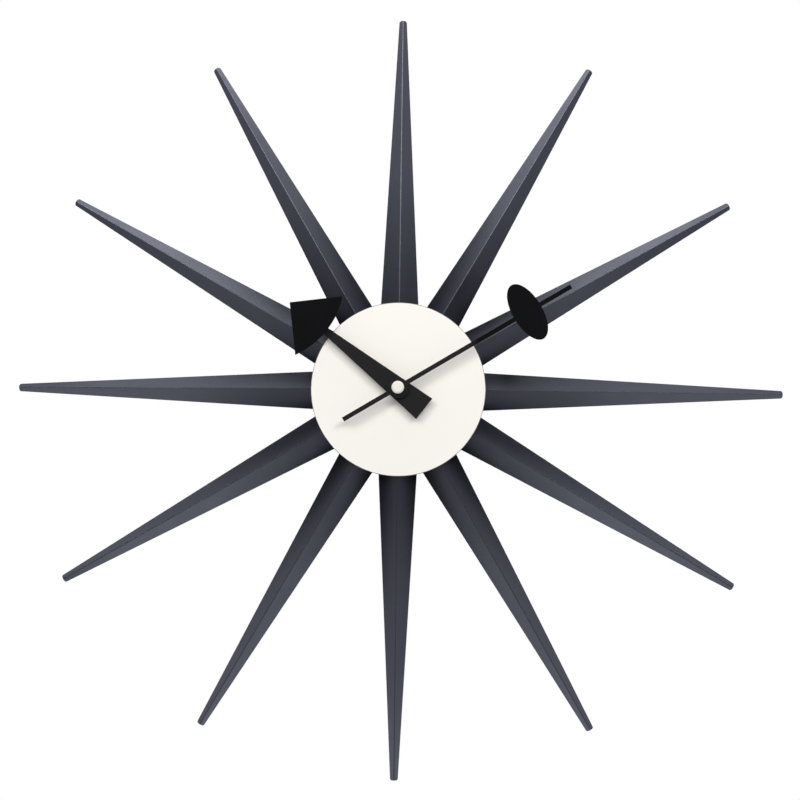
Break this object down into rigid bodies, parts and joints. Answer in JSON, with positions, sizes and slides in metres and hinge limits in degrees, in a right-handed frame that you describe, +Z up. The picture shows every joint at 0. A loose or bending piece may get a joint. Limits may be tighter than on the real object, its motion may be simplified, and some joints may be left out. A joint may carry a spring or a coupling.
{
  "type": "wall clock",
  "caption": "Sunburst wall clock: tapered ridged spikes around a small plain dial, arrow and oval hands, battery movement inside.",
  "frame": {"origin": "on the hands' axis, in the plane of the wall that the rear pads rest on", "axes": "+Z up to 12 o'clock, -Y out of the dial towards the viewer, +X to the viewer's right"},
  "size_m": [0.47, 0.0424, 0.47],
  "materials": {
    "spike_lacquer": "satin black lacquer on solid wood",
    "hub_lacquer": "satin black lacquer on a turned wooden hub",
    "hand_black": "satin black paint on sheet aluminium",
    "dial_cream": "fine satin cream paint on sheet aluminium",
    "cap_cream": "satin cream paint on a turned nut",
    "beech": "bare fluted beech dowel",
    "zinc_steel": "zinc plated steel",
    "yellow_zinc": "yellow passivated steel",
    "steel_grey": "silicon steel sheet, stamped",
    "magnet_dark": "sintered magnet with a plastic pinion",
    "brass": "machined brass",
    "rubber_black": "matte black rubber",
    "case_black": "moulded black plastic, fine texture",
    "knob_black": "moulded black plastic",
    "gear_white": "moulded natural acetal",
    "bobbin_white": "moulded white nylon",
    "copper_wire": "enamelled copper wire, wound",
    "board_green": "green solder mask on a laminate",
    "chip_black": "black potting resin",
    "crystal_can": "plated metal can",
    "spring_metal": "nickel plated spring steel",
    "cell_sleeve": "plain grey shrink sleeve on a steel can"
  },
  "bodies": {
    "clock_body": {"hub_block": "hub_lacquer", "spike_01": "spike_lacquer", "spike_02": "spike_lacquer", "spike_03": "spike_lacquer", "spike_04": "spike_lacquer", "spike_05": "spike_lacquer", "spike_06": "spike_lacquer", "spike_07": "spike_lacquer", "spike_08": "spike_lacquer", "spike_09": "spike_lacquer", "spike_10": "spike_lacquer", "spike_11": "spike_lacquer", "spike_12": "spike_lacquer", "spike_screws": "yellow_zinc", "spike_dowels": "beech", "dial_disc": "dial_cream", "dial_feet": "brass", "hanger_plate": "zinc_steel", "hanger_screws": "zinc_steel", "wall_pads": "rubber_black", "rubber_washer": "rubber_black", "brass_washer": "brass", "hex_nut": "brass", "threaded_bushing": "brass", "front_housing": "case_black", "rear_cover": "case_black", "cover_screws": "zinc_steel", "train_bridge": "bobbin_white", "movement_screws": "zinc_steel", "stator": "steel_grey", "coil_core": "steel_grey", "coil_bobbin": "bobbin_white", "coil_winding": "copper_wire", "circuit_board": "board_green", "quartz_crystal": "crystal_can", "chip_cap": "chip_black", "contact_positive": "spring_metal", "contact_negative": "spring_metal"},
    "minute_set": {"centre_wheel": "brass", "clutch_washer": "spring_metal", "minute_arbor": "zinc_steel", "minute_hand": "hand_black", "cap_nut": "cap_cream"},
    "hour_set": {"hour_wheel": "gear_white", "hour_hand": "hand_black"},
    "setting_set": {"setting_wheel": "gear_white", "setting_knob": "knob_black"},
    "third_set": {"third_wheel": "gear_white"},
    "second_set": {"second_wheel": "gear_white"},
    "intermediate_set": {"intermediate_wheel": "gear_white"},
    "rotor_set": {"rotor": "magnet_dark"},
    "battery_cell": {"battery": "cell_sleeve"}
  },
  "joints": [
    {"name": "minute_turn", "type": "hinge", "parent": "clock_body", "child": "minute_set", "pos_m": [0, 0, 0], "axis": [0, 1, 0], "continuous": true},
    {"name": "hour_turn", "type": "hinge", "parent": "clock_body", "child": "hour_set", "pos_m": [0, 0, 0], "axis": [0, 1, 0], "continuous": true},
    {"name": "setting_turn", "type": "hinge", "parent": "clock_body", "child": "setting_set", "pos_m": [0.012, 0, 0], "axis": [0, 1, 0], "continuous": true},
    {"name": "third_turn", "type": "hinge", "parent": "clock_body", "child": "third_set", "pos_m": [-0.01156, 0, 0], "axis": [0, 1, 0], "continuous": true},
    {"name": "second_turn", "type": "hinge", "parent": "clock_body", "child": "second_set", "pos_m": [0, 0, 0], "axis": [0, 1, 0], "continuous": true},
    {"name": "intermediate_turn", "type": "hinge", "parent": "clock_body", "child": "intermediate_set", "pos_m": [0.00125, 0, 0.00709], "axis": [0, 1, 0], "continuous": true},
    {"name": "rotor_turn", "type": "hinge", "parent": "clock_body", "child": "rotor_set", "pos_m": [-0.00001, 0, 0.01426], "axis": [0, 1, 0], "continuous": true},
    {"name": "battery_slide", "type": "slide", "parent": "clock_body", "child": "battery_cell", "axis": [0, 1, 0], "range_m": [0, 0.018]}
  ],
  "couplings": [
    {"joint": "hour_turn", "follows": "minute_turn", "ratio": 0.083333},
    {"joint": "setting_turn", "follows": "minute_turn", "ratio": -0.33333},
    {"joint": "third_turn", "follows": "minute_turn", "ratio": -7.5},
    {"joint": "second_turn", "follows": "minute_turn", "ratio": 60},
    {"joint": "intermediate_turn", "follows": "minute_turn", "ratio": -300},
    {"joint": "rotor_turn", "follows": "minute_turn", "ratio": 1800}
  ]
}
